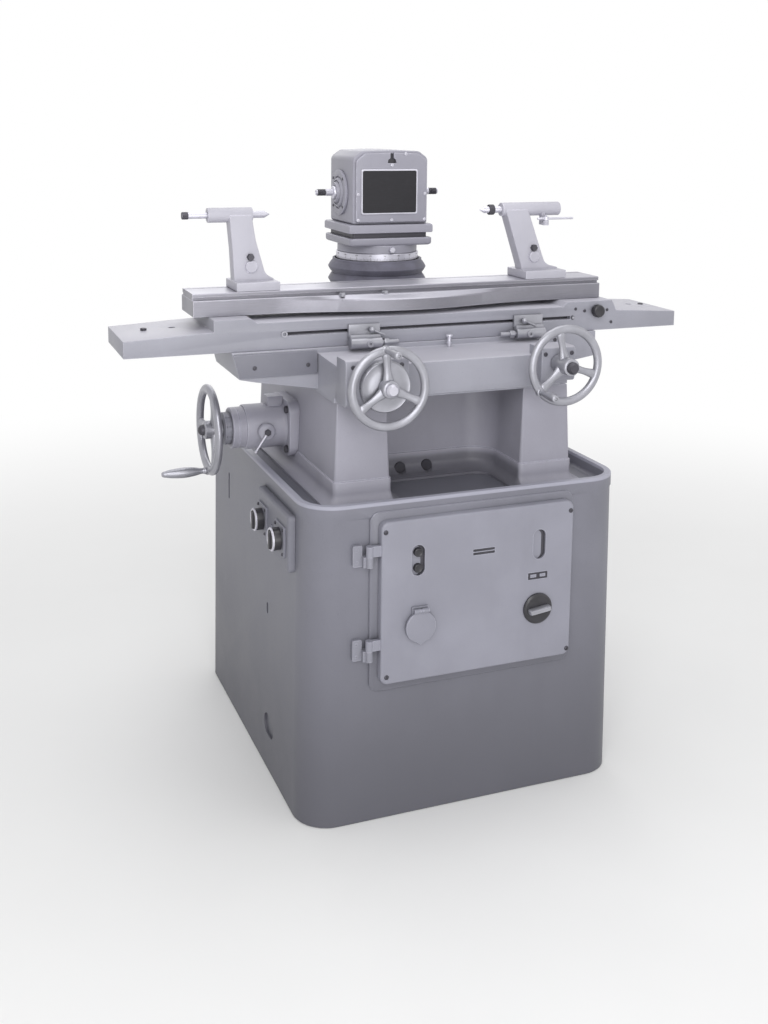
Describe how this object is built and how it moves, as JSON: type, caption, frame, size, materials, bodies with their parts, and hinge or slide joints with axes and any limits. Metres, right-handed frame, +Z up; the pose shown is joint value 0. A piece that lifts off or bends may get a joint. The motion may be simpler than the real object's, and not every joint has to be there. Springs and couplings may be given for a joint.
{
  "type": "universal grinding machine",
  "caption": "Floor-standing universal tool grinder: cabinet base, cross slide, long swivelling table with two work heads, and a raisable motor wheelhead.",
  "frame": {"origin": "centre of the base cabinet's underside, on the floor", "axes": "+X to the right along the table, +Y to the back, +Z up"},
  "size_m": [1.199, 0.8573, 1.279],
  "materials": {
    "paint": "satin machine enamel over cast iron",
    "cast_steel": "plain casting",
    "ground_steel": "ground",
    "bright_steel": "polished",
    "dark_steel": "oiled",
    "bronze": "machined bronze",
    "copper": "varnished winding on laminated iron",
    "rubber": "matt",
    "black_plastic": "moulded",
    "nameplate": "dark anodised, bare"
  },
  "bodies": {
    "root": {"base_cabinet": "paint", "control_plate": "cast_steel", "hinge_upper": "cast_steel", "hinge_lower": "cast_steel", "switch_panel": "paint", "pedestal": "paint", "gearbox_housing": "paint", "guide_sleeve": "paint", "bellows": "rubber", "cross_feed_nut": "bronze"},
    "door": {"door": "paint", "door_socket": "cast_steel"},
    "start_button": {"start_button": "black_plastic"},
    "stop_button": {"stop_button": "black_plastic"},
    "main_switch": {"main_switch_knob": "black_plastic"},
    "socket_flap": {"socket_flap": "paint"},
    "wheel_switch": {"wheel_switch_knob": "black_plastic"},
    "pump_switch": {"pump_switch_knob": "black_plastic"},
    "clamp_lever": {"gearbox_clamp_lever": "bright_steel"},
    "elevation_wheel": {"elevation_handwheel": "bright_steel", "elevation_dial": "bright_steel", "elevation_shaft": "dark_steel"},
    "elevation_handle": {"elevation_handle": "bright_steel"},
    "elevation_screw": {"elevation_screw": "dark_steel"},
    "ram": {"ram": "ground_steel", "elevation_nut": "bronze", "graduated_ring": "bright_steel"},
    "wheelhead": {"wheelhead_base": "paint", "spindle_housing": "paint", "front_cover": "paint", "nameplate": "nameplate", "left_bearing_cap": "paint", "right_bearing_cap": "paint", "left_bearing": "bright_steel", "right_bearing": "bright_steel", "stator": "copper"},
    "spindle": {"spindle": "bright_steel", "rotor": "cast_steel"},
    "cross_slide": {"cross_slide": "paint", "saddle_cover": "paint", "stop_pin": "bright_steel"},
    "cross_wheel": {"cross_handwheel": "bright_steel", "cross_dial": "bright_steel", "cross_screw": "dark_steel"},
    "cross_handle": {"cross_handle": "bright_steel"},
    "table_wheel": {"table_handwheel": "bright_steel", "table_pinion": "dark_steel"},
    "table_handle": {"table_handle": "bright_steel"},
    "lower_table": {"lower_table": "paint", "table_rack": "dark_steel"},
    "left_dog": {"left_stop_dog": "ground_steel"},
    "right_dog": {"right_stop_dog": "ground_steel"},
    "swivel_knob": {"swivel_knob": "black_plastic"},
    "swivel_table": {"swivel_table": "ground_steel"},
    "left_tailstock": {"left_tailstock": "paint"},
    "left_centre": {"left_centre": "bright_steel"},
    "right_tailstock": {"right_tailstock": "paint"},
    "right_centre": {"right_centre": "bright_steel"},
    "quill_lever": {"right_quill_lever": "bright_steel"}
  },
  "joints": [
    {"name": "door_swing", "type": "hinge", "parent": "root", "child": "door", "pos_m": [-0.219, -0.4073, 0.448], "axis": [0, 0, -1], "range_deg": [0, 110]},
    {"name": "start_press", "type": "slide", "parent": "door", "child": "start_button", "axis": [0, 1, 0], "range_m": [0, 0.004], "stiffness_N_per_m": 400},
    {"name": "stop_press", "type": "slide", "parent": "door", "child": "stop_button", "axis": [0, 1, 0], "range_m": [0, 0.004], "stiffness_N_per_m": 400},
    {"name": "main_switch_turn", "type": "hinge", "parent": "door", "child": "main_switch", "pos_m": [0.132, -0.4146, 0.396], "axis": [0, 1, 0], "range_deg": [0, 90]},
    {"name": "flap_lift", "type": "hinge", "parent": "door", "child": "socket_flap", "pos_m": [-0.12, -0.4244, 0.43025], "axis": [-1, 0, 0], "range_deg": [0, 110]},
    {"name": "wheel_switch_turn", "type": "hinge", "parent": "root", "child": "wheel_switch", "pos_m": [-0.35337, -0.1465, 0.549], "axis": [1, 0, 0], "range_deg": [0, 90]},
    {"name": "pump_switch_turn", "type": "hinge", "parent": "root", "child": "pump_switch", "pos_m": [-0.35337, -0.2695, 0.549], "axis": [1, 0, 0], "range_deg": [0, 90]},
    {"name": "clamp_turn", "type": "hinge", "parent": "root", "child": "clamp_lever", "pos_m": [-0.319, -0.0623, 0.7057], "axis": [0, -1, 0], "range_deg": [-30, 30]},
    {"name": "elevation_wheel_turn", "type": "hinge", "parent": "root", "child": "elevation_wheel", "pos_m": [-0.427, -0.01, 0.7057], "axis": [1, 0, 0], "range_deg": [0, 9000.1]},
    {"name": "elevation_handle_spin", "type": "hinge", "parent": "elevation_wheel", "child": "elevation_handle", "pos_m": [-0.46, -0.01, 0.6187], "axis": [-1, 0, 0], "continuous": true},
    {"name": "elevation_screw_turn", "type": "hinge", "parent": "root", "child": "elevation_screw", "pos_m": [-0.15, -0.01, 0.66], "axis": [0, 0, -1], "range_deg": [0, 9000.1]},
    {"name": "column_lift", "type": "slide", "parent": "root", "child": "ram", "axis": [0, 0, 1], "range_m": [0, 0.1], "deforming": ["bellows"]},
    {"name": "wheelhead_swivel", "type": "hinge", "parent": "ram", "child": "wheelhead", "pos_m": [0, 0.14, 1.0523], "axis": [0, 0, 1], "range_deg": [-90, 90]},
    {"name": "spindle_spin", "type": "hinge", "parent": "wheelhead", "child": "spindle", "pos_m": [0, 0.14, 1.184], "axis": [1, 0, 0], "continuous": true},
    {"name": "cross_travel", "type": "slide", "parent": "root", "child": "cross_slide", "axis": [0, 1, 0], "range_m": [-0.1, 0.04]},
    {"name": "cross_wheel_turn", "type": "hinge", "parent": "cross_slide", "child": "cross_wheel", "pos_m": [-0.181, -0.4, 0.858], "axis": [0, 1, 0], "range_deg": [-9000.1, 3600.1]},
    {"name": "cross_handle_spin", "type": "hinge", "parent": "cross_wheel", "child": "cross_handle", "pos_m": [-0.18756, -0.43, 0.9307], "axis": [0, -1, 0], "continuous": true},
    {"name": "table_travel", "type": "slide", "parent": "cross_slide", "child": "lower_table", "axis": [1, 0, 0], "range_m": [-0.1021, 0.1021]},
    {"name": "table_wheel_turn", "type": "hinge", "parent": "cross_slide", "child": "table_wheel", "pos_m": [0.184, -0.404, 0.878], "axis": [0, 1, 0], "range_deg": [-334.4, 334.4]},
    {"name": "table_handle_spin", "type": "hinge", "parent": "table_wheel", "child": "table_handle", "pos_m": [0.12956, -0.434, 0.82936], "axis": [0, -1, 0], "continuous": true},
    {"name": "left_dog_slide", "type": "slide", "parent": "lower_table", "child": "left_dog", "axis": [1, 0, 0], "range_m": [-0.12, 0]},
    {"name": "right_dog_slide", "type": "slide", "parent": "lower_table", "child": "right_dog", "axis": [1, 0, 0], "range_m": [0, 0.065]},
    {"name": "swivel_knob_turn", "type": "hinge", "parent": "lower_table", "child": "swivel_knob", "pos_m": [0.369, -0.2043, 0.947], "axis": [0, 1, 0], "range_deg": [-180, 180]},
    {"name": "table_swivel", "type": "hinge", "parent": "lower_table", "child": "swivel_table", "pos_m": [-0.038, -0.115, 0.9678], "axis": [0, 0, 1], "range_deg": [-10, 10]},
    {"name": "left_tailstock_slide", "type": "slide", "parent": "swivel_table", "child": "left_tailstock", "axis": [1, 0, 0], "range_m": [-0.08, 0.2]},
    {"name": "left_centre_slide", "type": "slide", "parent": "left_tailstock", "child": "left_centre", "axis": [1, 0, 0], "range_m": [-0.01, 0.02]},
    {"name": "right_tailstock_slide", "type": "slide", "parent": "swivel_table", "child": "right_tailstock", "axis": [1, 0, 0], "range_m": [-0.2, 0.06]},
    {"name": "right_centre_draw", "type": "slide", "parent": "right_tailstock", "child": "right_centre", "axis": [1, 0, 0], "range_m": [0, 0.012], "stiffness_N_per_m": 600},
    {"name": "quill_lever_turn", "type": "hinge", "parent": "right_tailstock", "child": "quill_lever", "pos_m": [0.278, -0.139, 1.1356], "axis": [0, 0, -1], "range_deg": [0, 26]}
  ],
  "couplings": [
    {"joint": "elevation_wheel_turn", "follows": "column_lift", "rad_per_m": 1570.8},
    {"joint": "elevation_screw_turn", "follows": "column_lift", "rad_per_m": 1570.8},
    {"joint": "cross_wheel_turn", "follows": "cross_travel", "rad_per_m": 1570.8},
    {"joint": "table_wheel_turn", "follows": "table_travel", "rad_per_m": 57.143},
    {"joint": "quill_lever_turn", "follows": "right_centre_draw", "rad_per_m": 36.36}
  ]
}
